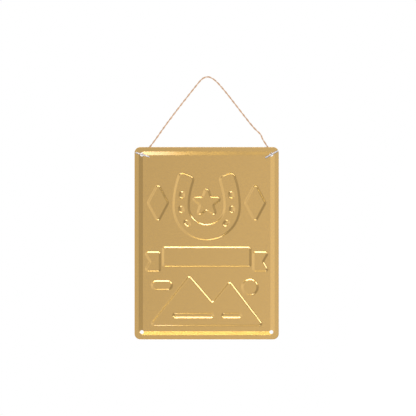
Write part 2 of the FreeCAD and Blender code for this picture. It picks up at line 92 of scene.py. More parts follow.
MM = 0.001
BODY = next(iter(frame["bodies"]))
SHEET_LOW, SHEET_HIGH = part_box("sign_plate")
SHEET_MIDDLE = (SHEET_LOW + SHEET_HIGH) / 2
SHEET_WIDTH = (SHEET_HIGH.x - SHEET_LOW.x) / MM
SHEET_HEIGHT = (SHEET_HIGH.z - SHEET_LOW.z) / MM

# The sheet's edge, rim and border.
SHEET_CORNER = 6.0
GAUGE = 0.3
LIP_BEND, LIP_TURN = 0.4, math.radians(35)
RIM_WIDTH = 4.3
BORDER_WIDTH, BORDER_DEPTH, BORDER_CORNER = 4.6, 1.2, 5.6
HOLE_RADIUS, HOLE_INSET = 2.0, 7.75

# The relief: the width and depth of its slopes, and the corners of its raised outlines.
RELIEF_WIDTH, RELIEF_DEPTH = 2.8, 0.75
NOSE, NOOK = 0.7, 3.4
FLAT_MARGIN = 0.1
SHOE_HEIGHT, SHOE_RADIUS, SHOE_BAND = 38.0, 33.0, 13.0
SHOE_SIDE_RADIUS, SHOE_SIDE_TURN, SHOE_END_CORNER = 95.0, math.radians(21), 3.0
SLOT_LENGTH, SLOT_WIDTH = 9.0, 6.9
BEND_SLOT_ANGLES, SIDE_SLOT_ANGLE = (-40, -6), 8
STAR_HEIGHT, STAR_RADIUS = 42.0, 14.2
DIAMOND_REACH, DIAMOND_HEIGHT, DIAMOND_WIDTH, DIAMOND_LENGTH = 50.5, 42.0, 18.0, 34.0
PANEL_DROP, PANEL_LENGTH, PANEL_HEIGHT = 14.0, 88.0, 17.0
TAIL_GAP, TAIL_LENGTH, TAIL_STEP, TAIL_NOTCH = 5.9, 12.0, 5.0, 5.0
RANGE_FOOT, RANGE_LENGTH = -84.0, 112.0
TALL_PEAK, SADDLE, LOW_PEAK = (-18.0, -36.0), (6.0, -64.0), (24.0, -42.0)
GROUND_BAR_LEVEL, GROUND_BAR_HEIGHT = -75.0, 6.9
GROUND_BARS = ((-14.0, 44.0), (26.0, 22.0))
SUN, SUN_RADIUS = (45.0, -45.5), 6.6
CLOUD, CLOUD_LENGTH, CLOUD_HEIGHT = (-46.5, -43.5), 18.0, 6.0

# The rolled bars by CAD node: slope across the sheet and lean off it, in radians, and how far
# each is slid along itself in its hole.
BAR_POSES = {
    "left_toggle": (math.radians(17.4), math.radians(-6.04)),
    "right_toggle": (math.radians(-29.0), math.radians(6.93)),
}
BAR_SLIDES = {"left_toggle": 0.8, "right_toggle": 0.4}
BAR_LENGTH, BAR_RADIUS, BAR_WALL = 15.0, 1.0, 0.25
WAIST_RADIUS, WAIST_LENGTH, WAIST_TAPER = 0.85, 2.0, 1.8

# Points of the cord from the left bar up to the hook and down to the right bar.
CORD_ROUTE = [
    (-0.06775, -0.00094, -0.08009),
    (-0.06740, 0.00262, -0.08000),
    (-0.0584, 0.0024, -0.0698),
    (-0.0403, 0.0015, -0.0440),
    (-0.0136, 0.00035, -0.0100),
    (-0.0046, 0.0, 0.00075),
    (0.0038, 0.0, 0.00075),
    (0.0148, 0.00035, -0.0100),
    (0.0391, 0.0015, -0.0415),
    (0.0486, 0.0019, -0.0532),
    (0.0552, 0.0021, -0.0588),
    (0.0567, 0.0023, -0.0638),
    (0.0624, 0.0024, -0.0720),
    (0.06580, 0.00253, -0.07970),
    (0.06624, -0.00106, -0.07966),
]

# The camera: the photograph is 416 pixels wide, and its middle lies at this place on the sheet.
PIXEL = 0.001039
IMAGE_WIDTH = 416
VIEW_MIDDLE = Vector((0.0001, 0.0, -0.13546))
CAMERA_DISTANCE = 1.44

# The lamps, as (name, place, width, height, power), all aimed at the sheet's middle.
LAMPS = [
    ("top_softbox", (0.1, -0.95, 0.88), 1.2, 0.11, 2.5),
    ("left_softbox", (-0.235, -0.95, 0.55), 0.33, 0.10, 0.36),
    ("low_softbox", (0.1, -0.85, -1.13), 1.1, 0.20, 4.4),
    ("low_border_softbox", (0.0, -0.95, -0.87), 1.0, 0.07, 1.0),
    ("low_left_softbox", (-0.72, -0.85, -0.78), 0.34, 0.34, 1.4),
    ("front_softbox", (-0.2, 0.95, 0.84), 1.2, 0.10, 2.2),
    ("front_side_softbox", (1.1, 0.45, 0.05), 0.10, 0.9, 0.8),
]

# The studio's levels of light: to the left and right, low and high, and well below the sign.
LEFT_LEVEL, RIGHT_LEVEL = 0.58, 1.1
LOW_LEVEL, HIGH_LEVEL = 1.05, 0.68
BELOW_LEVEL = 0.3
FLOOR_DROP, FLOOR_REACH = 1.2, 1.3


class SignSizes(bpy.types.PropertyGroup):
    """Sizes of the sign's sheet, bars and cord."""

    relief_bend: FloatProperty(
        name="Relief Bend",
        description="Bend radius at the top and foot of the relief's slopes",
        default=2.6 * MM, min=0.5 * MM, max=2.7 * MM, subtype="DISTANCE", unit="LENGTH",
    )
    border_bend: FloatProperty(
        name="Border Bend",
        description="Bend radius at the top and foot of the border's slope",
        default=1.6 * MM, min=0.5 * MM, max=4.0 * MM, subtype="DISTANCE", unit="LENGTH",
    )
    dent_depth: FloatProperty(
        name="Dent Depth",
        description="How far the thin sheet waves out of its plane",
        default=0.02 * MM, min=0.0, max=0.3 * MM, subtype="DISTANCE", unit="LENGTH",
    )
    twist_pitch: FloatProperty(
        name="Twist Pitch",
        description="Length of the cord in which its two plies turn once round each other",
        default=12 * MM, min=2 * MM, max=60 * MM, subtype="DISTANCE", unit="LENGTH",
    )
    fibre_count: IntProperty(
        name="Loose Fibres",
        description="Fine fibres that stand off the cord",
        default=420, min=0, max=2000,
    )


class SignColours(bpy.types.PropertyGroup):
    """Colours of the sign's finishes."""

    lacquer: FloatVectorProperty(
        name="Gold Lacquer",
        description="Tint of the lacquered tin",
        default=(0.64, 0.36, 0.040), size=3, min=0.0, max=1.0, subtype="COLOR",
    )
    lacquer_shade: FloatVectorProperty(
        name="Lacquer Shade",
        description="Deeper tint in the lacquer's mottling",
        default=(0.58, 0.323, 0.034), size=3, min=0.0, max=1.0, subtype="COLOR",
    )
    cord_light: FloatVectorProperty(
        name="Cord, Light",
        description="Sun-bleached fibre of the cord",
        default=(0.77, 0.52, 0.345), size=3, min=0.0, max=1.0, subtype="COLOR",
    )
    cord_dark: FloatVectorProperty(
        name="Cord, Dark",
        description="Brown fibre of the cord",
        default=(0.60, 0.37, 0.22), size=3, min=0.0, max=1.0, subtype="COLOR",
    )
    nickel: FloatVectorProperty(
        name="Nickel",
        description="Plating of the rolled bars",
        default=(0.64, 0.61, 0.62), size=3, min=0.0, max=1.0, subtype="COLOR",
    )


# Outlines: closed chains of (start, heading, length, radius, turn) stretches, walked with the
# raised side on the left. Their arcs are tangent to their lines.

def ahead(point, heading, distance):
    """The point reached from another along a heading."""
    return (point[0] + distance * math.cos(heading), point[1] + distance * math.sin(heading))


def walk(start, heading, moves):
    """The outline that starts at a point and follows (length, radius, turn) moves."""
    outline = []
    point = start
    for length, radius, turn in moves:
        outline.append((point, heading, length, radius, turn))
        if turn:
            side = math.copysign(math.pi / 2, turn)
            centre = ahead(point, heading + side, radius)
            heading += turn
            point = ahead(centre, heading - side, radius)
        else:
            point = ahead(point, heading, length)
    return outline


def rounded(corners, nose, nook):
    """A polygon walked to the left, its outer corners rounded to nose and inner ones to nook."""
    count = len(corners)
    headings, lengths = [], []
    for index, corner in enumerate(corners):
        following = corners[(index + 1) % count]
        run = (following[0] - corner[0], following[1] - corner[1])
        headings.append(math.atan2(run[1], run[0]))
        lengths.append(math.hypot(*run))
    turns = [math.remainder(headings[i] - headings[i - 1], math.tau) for i in range(count)]
    radii = [nose if turn > 0 else nook for turn in turns]
    reaches = [radius * math.tan(abs(turn) / 2) for radius, turn in zip(radii, turns)]
    moves = []
    for index in range(count):
        end = (index + 1) % count
        moves.append((lengths[index] - reaches[index] - reaches[end], 0.0, 0.0))
        moves.append((0.0, radii[end], turns[end]))
    return walk(ahead(corners[0], headings[0], reaches[0]), headings[0], moves)


def slab(centre, heading, length, width, corner):
    """A rectangle with rounded corners, its length along a heading."""
    corners = []
    for along, across in ((-1, -1), (1, -1), (1, 1), (-1, 1)):
        middle = ahead(centre, heading, along * length / 2)
        corners.append(ahead(middle, heading + math.pi / 2, across * width / 2))
    return rounded(corners, corner, corner)


def round_ended(centre, length, width):
    """A level bar with half-round ends."""
    radius = width / 2
    start = (centre[0] - length / 2 + radius, centre[1] - radius)
    half = [(length - width, 0.0, 0.0), (0.0, radius, math.pi)]
    return walk(start, 0.0, half * 2 if length > width else half[1:] * 2)


def star():
    """The star's corners, from its top tip to the left."""
    inner = STAR_RADIUS * math.cos(math.radians(72)) / math.cos(math.radians(36))
    corners = []
    for index in range(10):
        reach = inner if index % 2 else STAR_RADIUS
        corners.append(ahead((0.0, STAR_HEIGHT), math.pi / 2 + index * math.pi / 5, reach))
    return corners


def horseshoe():
    """The horseshoe's band: a round bend, two sides that close in and two square ends."""
    outer, band, side, corner = SHOE_RADIUS, SHOE_BAND, SHOE_SIDE_RADIUS, SHOE_END_CORNER
    outer_reach, inner_reach = side - corner, side - band + corner
    outer_lag, inner_lag = math.asin(corner / outer_reach), math.asin(corner / inner_reach)
    end = math.sqrt(outer_reach**2 - corner**2) - math.sqrt(inner_reach**2 - corner**2)
    half = [
        (0.0, outer, math.pi / 2),
        (0.0, side, SHOE_SIDE_TURN - outer_lag),
        (0.0, corner, math.pi / 2 + outer_lag),
        (end, 0.0, 0.0),
        (0.0, corner, math.pi / 2 - inner_lag),
        (0.0, side - band, inner_lag - SHOE_SIDE_TURN),
        (0.0, outer - band, -math.pi / 2),
    ]
    return walk((0.0, SHOE_HEIGHT - outer), 0.0, half + half[::-1])


def nail_slots():
    """Three slots on each side of the horseshoe, along the middle of its band."""
    bend = SHOE_RADIUS - SHOE_BAND / 2
    side = SHOE_SIDE_RADIUS - SHOE_BAND / 2
    base = (0.0, SHOE_HEIGHT)
    slots = []
    for hand in (-1, 1):
        side_centre = (hand * (bend - side), base[1])
        places = [(base, bend, angle) for angle in BEND_SLOT_ANGLES]
        for centre, radius, angle in places + [(side_centre, side, SIDE_SLOT_ANGLE)]:
            bearing = math.radians(angle if hand > 0 else 180 - angle)
            place = ahead(centre, bearing, radius)
            slots.append(slab(place, bearing + math.pi / 2, SLOT_LENGTH, SLOT_WIDTH, NOOK))
    return slots


def diamond(hand):
    """The corners of the diamond to the left or right of the horseshoe."""
    centre = hand * DIAMOND_REACH
    return [
        (centre, DIAMOND_HEIGHT - DIAMOND_LENGTH / 2),
        (centre + DIAMOND_WIDTH / 2, DIAMOND_HEIGHT),
        (centre, DIAMOND_HEIGHT + DIAMOND_LENGTH / 2),
        (centre - DIAMOND_WIDTH / 2, DIAMOND_HEIGHT),
    ]


def ribbon_tail(hand):
    """One of the ribbon's tails, with its notch."""
    half = PANEL_HEIGHT / 2
    middle = -PANEL_DROP - TAIL_STEP
    near = PANEL_LENGTH / 2 + TAIL_GAP
    far = near + TAIL_LENGTH
    corners = [
        (near, middle - half),
        (far, middle - half),
        (far - TAIL_NOTCH, middle),
        (far, middle + half),
        (near, middle + half),
    ]
    return corners if hand > 0 else [(-x, z) for x, z in reversed(corners)]


def relief_figures():
    """Each raised outline with the sunk outlines inside it."""
    half = RANGE_LENGTH / 2
    mountains = [(-half, RANGE_FOOT), (half, RANGE_FOOT), LOW_PEAK, SADDLE, TALL_PEAK]
    bars = [
        slab((offset, GROUND_BAR_LEVEL), 0.0, length, GROUND_BAR_HEIGHT, NOOK)
        for offset, length in GROUND_BARS
    ]
    figures = [
        (horseshoe(), nail_slots()),
        (rounded(mountains, NOSE, NOOK), bars),
        (slab((0.0, -PANEL_DROP), 0.0, PANEL_LENGTH, PANEL_HEIGHT, NOSE), []),
        (round_ended(SUN, 2 * SUN_RADIUS, 2 * SUN_RADIUS), []),
        (round_ended(CLOUD, CLOUD_LENGTH, CLOUD_HEIGHT), []),
    ]
    plain = [star(), diamond(-1), diamond(1), ribbon_tail(-1), ribbon_tail(1)]
    return figures + [(rounded(corners, NOSE, NOOK), []) for corners in plain]


def sampled(outline):
    """Points of an outline, each with the direction that leads straight away from it."""
    line_step, arc_step = 2.2, math.radians(11)
    samples = []
    for start, heading, length, radius, turn in outline:
        if not turn:
            count = max(1, round(length / line_step))
            out = (math.sin(heading), -math.cos(heading))
            for index in range(count):
                samples.append((ahead(start, heading, length * index / count), out))
            continue
        hand = math.copysign(1.0, turn)
        centre = ahead(start, heading + hand * math.pi / 2, radius)
        count = max(2, math.ceil(abs(turn) / arc_step), round(abs(turn) * radius / line_step))
        for index in range(count):
            angle = heading - hand * math.pi / 2 + turn * index / count
            out = (hand * math.cos(angle), hand * math.sin(angle))
            samples.append((ahead(centre, angle, radius), out))
    return samples


def step_section(width, depth, bend, direction):
    """(offset, depth) stations over a slope: bends at its top and foot and flats beyond them."""
    reach = math.hypot(width, 2 * bend - depth)
    angle = math.atan2(width, 2 * bend - depth) - math.acos(2 * bend / reach)
    bend_steps = 6
    top, foot = [], []
    for index in range(bend_steps + 1):
        along = angle * index / bend_steps
        reach, drop = bend * math.sin(along), bend * (1 - math.cos(along))
        top.append((reach, depth - drop))
        foot.append((width - reach, drop))
    stations = [(-FLAT_MARGIN, depth)] + top + foot[::-1] + [(width + FLAT_MARGIN, 0.0)]
    return [(direction * offset, level) for offset, level in stations]


def enclosed(spots, starts, ends):
    """Whether each spot lies inside the outer of some closed outlines and outside the others."""
    level = spots[:, 1:2]
    straddles = (starts[:, 1] > level) != (ends[:, 1] > level)
    rise = ends[:, 1] - starts[:, 1]
    share = (level - starts[:, 1]) / np.where(rise == 0, 1.0, rise)
    to_the_right = spots[:, 0:1] < starts[:, 0] + share * (ends[:, 0] - starts[:, 0])
    return (straddles & to_the_right).sum(axis=1) % 2 == 1


class SheetSkin:
    """The sheet's middle surface, gathered ring by ring: rings are lists of point numbers."""

    def __init__(self):
        self.points = []
        self.faces = []

    def ring(self, samples, offset, depth):
        """A ring of points at an offset from an outline, at a depth."""
        first = len(self.points)
        for (x, z), (out_x, out_z) in samples:
            self.points.append((x + offset * out_x, depth, z + offset * out_z))
        return list(range(first, len(self.points)))

    def slope(self, samples, section):
        """Joins the rings of a section into a band, and gives back its first and last ring."""
        rings = [self.ring(samples, offset, depth) for offset, depth in section]
        for inner, outer in zip(rings, rings[1:]):
            for index, number in enumerate(inner):
                before = index - 1
                self.faces.append((inner[before], number, outer[index], outer[before]))
        return rings[0], rings[-1]

    def fill(self, outer, holes, depth):
        """A flat stretch between rings, with a grid of points that its dents can bend."""
        grid_step, clearance = 5.0, 2.2
        numbers = [number for loop in (outer, *holes) for number in loop]
        flat = [Vector((self.points[n][0], self.points[n][2])) for n in numbers]
        edges, start = [], 0
        for loop in (outer, *holes):
            size = len(loop)
            edges += [(start + i, start + (i + 1) % size) for i in range(size)]
            start += size
        near = kdtree.KDTree(len(flat))
        for index, point in enumerate(flat):
            near.insert(point.to_3d(), index)
        near.balance()
        columns = int(SHEET_WIDTH / grid_step / 2)
        rows = int(SHEET_HEIGHT / grid_step / 2)
        for column in range(-columns, columns + 1):
            for row in range(-rows, rows + 1):
                point = Vector(((column + row % 2 / 2) * grid_step, row * grid_step))
                if near.find(point.to_3d())[2] > clearance:
                    flat.append(point)
        inside_edges = 1
        places, _, triangles, origins, _, _ = geometry.delaunay_2d_cdt(
            flat, edges, [], inside_edges, 1e-5
        )
        spots = [sum((places[n] for n in triangle), Vector((0, 0))) / 3 for triangle in triangles]
        starts = np.array([flat[first] for first, _ in edges])
        ends = np.array([flat[second] for _, second in edges])
        known = {}
        for triangle, kept in zip(triangles, enclosed(np.array(spots), starts, ends)):
            if not kept:
                continue
            corners = []
            for corner in triangle:
                source = origins[corner][0] if origins[corner] else len(flat) + corner
                if source < len(numbers):
                    corners.append(numbers[source])
                    continue
                if source not in known:
                    known[source] = len(self.points)
                    self.points.append((places[corner].x, depth, places[corner].y))
                corners.append(known[source])
            self.faces.append(corners)


def pressed_skin(sizes):
    """The whole sheet's middle surface, in millimetres."""
    skin = SheetSkin()
    reach = (LIP_BEND + GAUGE / 2) * math.sin(LIP_TURN)
    edge = slab((0.0, 0.0), 0.0, SHEET_WIDTH - 2 * reach, SHEET_HEIGHT - 2 * reach,
                SHEET_CORNER - reach)
    lip_steps, lip_margin = 5, 0.6
    lip = [(-lip_margin, BORDER_DEPTH)]
    for index in range(lip_steps + 1):
        turn = LIP_TURN * index / lip_steps
        lip.append((LIP_BEND * math.sin(turn), BORDER_DEPTH - LIP_BEND * (1 - math.cos(turn))))
    rim_outside = skin.slope(sampled(edge), lip)[0]
    border = slab((0.0, 0.0), 0.0, SHEET_WIDTH - 2 * RIM_WIDTH, SHEET_HEIGHT - 2 * RIM_WIDTH,
                  BORDER_CORNER)
    section = step_section(BORDER_WIDTH, BORDER_DEPTH, sizes.border_bend / MM, -1)
    rim_inside, field_edge = skin.slope(sampled(border), section)
    skin.fill(rim_outside, [rim_inside], BORDER_DEPTH)
    rise = step_section(RELIEF_WIDTH, RELIEF_DEPTH, sizes.relief_bend / MM, 1)
    sink = step_section(RELIEF_WIDTH, RELIEF_DEPTH, sizes.relief_bend / MM, -1)
    feet = []
    for raised, sunk in relief_figures():
        top, foot = skin.slope(sampled(raised), rise)
        feet.append(foot)
        openings = []
        for hollow in sunk:
            opening, floor = skin.slope(sampled(hollow), sink)
            openings.append(opening)
            skin.fill(floor, [], 0.0)
        skin.fill(top, openings, RELIEF_DEPTH)
    skin.fill(field_edge, feet, 0.0)
    return skin


def dent(x, z):
    """How far the thin sheet waves out of its plane at a place, from -1 to 1."""
    broad = noise.noise(Vector((x / 46.0, 3.7, z / 46.0)))
    small = noise.noise(Vector((x / 17.0, 9.1, z / 17.0)))
    return broad + 0.2 * small


def new_object(name, mesh, materials):
    """An object in the scene, at the origin, with its materials."""
    piece = bpy.data.objects.new(name, mesh)
    bpy.context.scene.collection.objects.link(piece)
    mesh.materials.clear()
    for material in materials:
        mesh.materials.append(material)
    return piece


def baked(piece, name, materials):
    """The piece with its modifiers applied, as a plain mesh object of its own."""
    evaluated = piece.evaluated_get(bpy.context.evaluated_depsgraph_get())
    mesh = bpy.data.meshes.new_from_object(evaluated)
    mesh.name = name
    bpy.data.objects.remove(piece)
    return new_object(name, mesh, materials)


# Materials.

def shader(name, **sockets):
    """A material with its Principled node, on which plain values are set by socket name."""
    material = bpy.data.materials.new(name)
    material.use_nodes = True
    nodes, links = material.node_tree.nodes, material.node_tree.links
    principled = nodes["Principled BSDF"]
    for socket, value in sockets.items():
        principled.inputs[socket.replace("_", " ")].default_value = value
    return material, nodes, links, principled


def speckle(nodes, links, scale, detail=4.0, stretch=(1.0, 1.0, 1.0)):
    """Noise on the object's own coordinates, and its number output."""
    place = nodes.new("ShaderNodeTexCoord")
    mapping = nodes.new("ShaderNodeMapping")
    mapping.inputs["Scale"].default_value = stretch
    grain = nodes.new("ShaderNodeTexNoise")
    grain.inputs["Scale"].default_value = scale
    grain.inputs["Detail"].default_value = detail
    links.new(place.outputs["Object"], mapping.inputs["Vector"])
    links.new(mapping.outputs["Vector"], grain.inputs["Vector"])
    return grain.outputs["Fac"]


def between(nodes, links, number, low, high, start=0.35, end=0.65):
    """A number from low to high as another goes from start to end."""
    span = nodes.new("ShaderNodeMapRange")
    ends = {"From Min": start, "From Max": end, "To Min": low, "To Max": high}
    for socket, value in ends.items():
        span.inputs[socket].default_value = value
    links.new(number, span.inputs["Value"])
    return span.outputs["Result"]


def tinted(nodes, links, number, first, second):
    """A colour between two, by a number from 0 to 1."""
    mix = nodes.new("ShaderNodeMix")
    mix.data_type = "RGBA"
    mix.inputs[6].default_value = (*first, 1.0)
    mix.inputs[7].default_value = (*second, 1.0)
    links.new(number, mix.inputs["Factor"])
    return mix.outputs[2]


def bumped(nodes, links, number, distance, strength, normal=None):
    """A normal that a number raises and lowers by a distance."""
    bump = nodes.new("ShaderNodeBump")
    bump.inputs["Distance"].default_value = distance
    bump.inputs["Strength"].default_value = strength
    links.new(number, bump.inputs["Height"])
    if normal:
        links.new(normal, bump.inputs["Normal"])
    return bump.outputs["Normal"]


def gold_lacquer(colours):
    """Satin gold lacquer over rolled tinplate, finely mottled."""
    material, nodes, links, principled = shader(
        "gold_lacquer", Metallic=1.0, Coat_Weight=1.0, Coat_Roughness=0.12, Coat_IOR=2.1)
    mottle = between(nodes, links, speckle(nodes, links, 1100.0), 0.0, 1.0)
    colour = tinted(nodes, links, mottle, tuple(colours.lacquer), tuple(colours.lacquer_shade))
    links.new(colour, principled.inputs["Base Color"])
    rubbed = between(nodes, links, speckle(nodes, links, 60.0, 6.0), 0.20, 0.245)
    links.new(rubbed, principled.inputs["Roughness"])
    peel_depth, grain_depth = 0.000008, 0.000004
    peel = bumped(nodes, links, speckle(nodes, links, 420.0, 2.0), peel_depth, 0.5)
    rolled = speckle(nodes, links, 2600.0, 2.0, (1.0, 1.0, 0.12))
    grain = bumped(nodes, links, rolled, grain_depth, 0.5, peel)
    links.new(grain, principled.inputs["Normal"])
    return material


def bare_edge():
    """The cut edge of the tinplate."""
    material, nodes, links, principled = shader(
        "bare_tin_edge", Metallic=1.0, Base_Color=(0.46, 0.40, 0.28, 1.0))
    worn = between(nodes, links, speckle(nodes, links, 900.0), 0.35, 0.6)
    links.new(worn, principled.inputs["Roughness"])
    return material


def nickel_plate(colours):
    """Bright nickel on the rolled bars, with fine marks along the strip."""
    material, nodes, links, principled = shader(
        "nickel_plate", Metallic=1.0, Base_Color=(*colours.nickel, 1.0))
    marks = speckle(nodes, links, 1500.0, 3.0, (0.15, 1.0, 1.0))
    links.new(between(nodes, links, marks, 0.12, 0.22), principled.inputs["Roughness"])
    links.new(bumped(nodes, links, marks, 0.000003, 0.4), principled.inputs["Normal"])
    return material


def twine_fibre(colours):
    """Natural fibre, lighter and browner from strand to strand."""
    material, nodes, links, principled = shader(
        "natural_twine", Roughness=0.85, Sheen_Weight=0.25, Sheen_Roughness=0.5)
    tone = nodes.new("ShaderNodeAttribute")
    tone.attribute_name = "tone"
    colour = tinted(nodes, links, tone.outputs["Fac"],
                    tuple(colours.cord_light), tuple(colours.cord_dark))
    links.new(colour, principled.inputs["Base Color"])
    fibres = speckle(nodes, links, 6000.0, 2.0)
    links.new(bumped(nodes, links, fibres, 0.00004, 0.6), principled.inputs["Normal"])
    return material


# The cord.

class TwineTree:
    """The node tree that lays yarns and loose fibres along the cord's line."""

    def __init__(self, name):
        self.tree = bpy.data.node_groups.new(name, "GeometryNodeTree")
        self.tree.interface.new_socket("Line", in_out="INPUT", socket_type="NodeSocketGeometry")
        self.tree.interface.new_socket("Twine", in_out="OUTPUT", socket_type="NodeSocketGeometry")
        self.inputs = self.tree.nodes.new("NodeGroupInput")
        self.identifiers = {}

    def size(self, name, value, kind="NodeSocketFloat"):
        """A named input of the tree and its socket."""
        socket = self.tree.interface.new_socket(name, in_out="INPUT", socket_type=kind)
        socket.default_value = value
        self.identifiers[name] = socket.identifier
        return self.inputs.outputs[name]

    def node(self, kind, settings=None, **sockets):
        """A node with its settings made and its sockets set or linked, by name."""
        node = self.tree.nodes.new(kind)
        for setting, value in (settings or {}).items():
            setattr(node, setting, value)
        for name, value in sockets.items():
            socket = self.socket(node, name.replace("_", " "))
            if isinstance(value, bpy.types.NodeSocket):
                self.tree.links.new(value, socket)
            else:
                socket.default_value = value
        return node

    @staticmethod
    def socket(node, name):
        """The first switched-on input with that name."""
        return next(s for s in node.inputs if s.name == name and s.enabled)

    def maths(self, operation, first, second=None, third=None):
        """The number that a Math node makes of numbers and sockets."""
        node = self.tree.nodes.new("ShaderNodeMath")
        node.operation = operation
        for socket, value in zip(node.inputs, (first, second, third)):
            if isinstance(value, bpy.types.NodeSocket):
                self.tree.links.new(value, socket)
            elif value is not None:
                socket.default_value = value
        return node.outputs[0]

    def vector(self, operation, first, second):
        """The vector that a Vector Math node makes of two sockets."""
        node = self.tree.nodes.new("ShaderNodeVectorMath")
        node.operation = operation
        self.tree.links.new(first, node.inputs[0])
        target = node.inputs["Scale"] if operation == "SCALE" else node.inputs[1]
        self.tree.links.new(second, target)
        return node.outputs["Vector"]

    def around(self, normal, side, angle, reach):
        """The offset at an angle round the line."""
        across = self.vector("SCALE", normal, self.maths("COSINE", angle))
        aside = self.vector("SCALE", side, self.maths("SINE", angle))
        return self.vector("SCALE", self.vector("ADD", across, aside), reach)


def twine_tree(material):
    """Two plies of four yarns each, laid round each other, with loose fibres."""
    twine = TwineTree("twisted_cord")
    pitch = twine.size("Twist Pitch", 0.012)
    yarn_pitch = twine.size("Yarn Pitch", 0.0034)
    ply_reach = twine.size("Ply Offset", 0.00036)
    yarn_reach = twine.size("Yarn Offset", 0.00022)
    yarn_radius = twine.size("Yarn Radius", 0.0003)
    fibres = twine.size("Loose Fibres", 420, "NodeSocketInt")
    seed = twine.size("Seed", 7, "NodeSocketInt")
    line = twine.node("GeometryNodeResampleCurve", {"mode": "LENGTH"},
                      Curve=twine.inputs.outputs["Line"], Length=0.00035)
    upright = twine.node("GeometryNodeSetCurveNormal", {"mode": "MINIMUM_TWIST"},
                         Curve=line.outputs[0])
    copies = twine.node("GeometryNodeDuplicateElements", {"domain": "SPLINE"},
                        Geometry=upright.outputs[0], Amount=8)
    number = copies.outputs["Duplicate Index"]
    along = twine.node("GeometryNodeSplineParameter").outputs["Length"]
    normal = twine.node("GeometryNodeInputNormal").outputs[0]
    tangent = twine.node("GeometryNodeInputTangent").outputs[0]
    side = twine.vector("CROSS_PRODUCT", tangent, normal)
    ply = twine.maths("MODULO", number, 2.0)
    yarn = twine.maths("FLOOR", twine.maths("DIVIDE", number, 2.0))
    ply_wind = twine.maths("MULTIPLY", twine.maths("DIVIDE", along, pitch), math.tau)
    ply_turn = twine.maths("MULTIPLY_ADD", ply, math.pi, ply_wind)
    yarn_wind = twine.maths("MULTIPLY", twine.maths("DIVIDE", along, yarn_pitch), -math.tau)
    yarn_turn = twine.maths("MULTIPLY_ADD", yarn, math.pi / 2, yarn_wind)
    wander = twine.node("ShaderNodeTexNoise", {"noise_dimensions": "4D"},
                        W=number, Scale=260.0, Detail=2.0).outputs[0]
    loose = twine.node("ShaderNodeMapRange", Value=wander, From_Min=0.3, From_Max=0.7,
                       To_Min=0.75, To_Max=1.25).outputs[0]
    ply_offset = twine.around(normal, side, ply_turn, twine.maths("MULTIPLY", ply_reach, loose))
    yarn_offset = twine.around(normal, side, yarn_turn, twine.maths("MULTIPLY", yarn_reach, loose))
    laid = twine.node("GeometryNodeSetPosition", Geometry=copies.outputs[0],
                      Offset=twine.vector("ADD", ply_offset, yarn_offset))
    streak = twine.node("ShaderNodeTexNoise", {"noise_dimensions": "4D"},
                        W=number, Scale=150.0, Detail=3.0).outputs[0]
    tone = twine.node("ShaderNodeMapRange", Value=streak, From_Min=0.32, From_Max=0.68,
                      To_Min=0.0, To_Max=1.0).outputs[0]
    toned = twine.node("GeometryNodeStoreNamedAttribute",
                       {"data_type": "FLOAT", "domain": "POINT"},
                       Geometry=laid.outputs[0], Name="tone", Value=tone)
    ring = twine.node("GeometryNodeCurvePrimitiveCircle", Resolution=7, Radius=yarn_radius)
    yarns = twine.node("GeometryNodeCurveToMesh", Curve=toned.outputs[0],
                       Profile_Curve=ring.outputs[0], Fill_Caps=True)
    seats = twine.node("GeometryNodeCurveToPoints", {"mode": "COUNT"},
                       Curve=upright.outputs[0], Count=fibres)
    hair = twine.node("GeometryNodeCurveQuadraticBezier", Resolution=5, Start=(0.0, 0.0, 0.0003),
                      Middle=(0.0003, 0.0001, 0.0010), End=(0.0011, -0.0002, 0.0013))
    spin = twine.node("FunctionNodeRandomValue", {"data_type": "FLOAT_VECTOR"},
                      Max=(math.tau, math.tau, math.tau), Seed=seed)
    size = twine.node("FunctionNodeRandomValue", {"data_type": "FLOAT"}, Seed=seed)
    twine.socket(size, "Min").default_value = 0.45
    twine.socket(size, "Max").default_value = 1.1
    hairs = twine.node("GeometryNodeInstanceOnPoints", Points=seats.outputs[0],
                       Instance=hair.outputs[0], Rotation=spin.outputs[0])
    twine.tree.links.new(next(o for o in size.outputs if o.enabled), hairs.inputs["Scale"])
    real = twine.node("GeometryNodeRealizeInstances", Geometry=hairs.outputs[0])
    thread = twine.node("GeometryNodeCurvePrimitiveCircle", Resolution=3, Radius=0.000018)
    fuzz = twine.node("GeometryNodeCurveToMesh", Curve=real.outputs[0],
                      Profile_Curve=thread.outputs[0], Fill_Caps=True)
    joined = twine.tree.nodes.new("GeometryNodeJoinGeometry")
    twine.tree.links.new(yarns.outputs[0], joined.inputs[0])
    twine.tree.links.new(fuzz.outputs[0], joined.inputs[0])
    solid = twine.node("GeometryNodeRealizeInstances", Geometry=joined.outputs[0])
    dressed = twine.node("GeometryNodeSetMaterial", Geometry=solid.outputs[0], Material=material)
    out = twine.tree.nodes.new("NodeGroupOutput")
    twine.tree.links.new(dressed.outputs[0], out.inputs[0])
    return twine


def cord_line():
    """The cord's route as one smooth spline."""
    curve = bpy.data.curves.new("cord_line", "CURVE")
    curve.dimensions = "3D"
    spline = curve.splines.new("NURBS")
    spline.points.add(len(CORD_ROUTE) - 1)
    for point, place in zip(spline.points, CORD_ROUTE):
        point.co = (*place, 1.0)
    spline.order_u = 3
    spline.use_endpoint_u = True
    spline.resolution_u = 24
    return new_object("cord_line", curve, [])


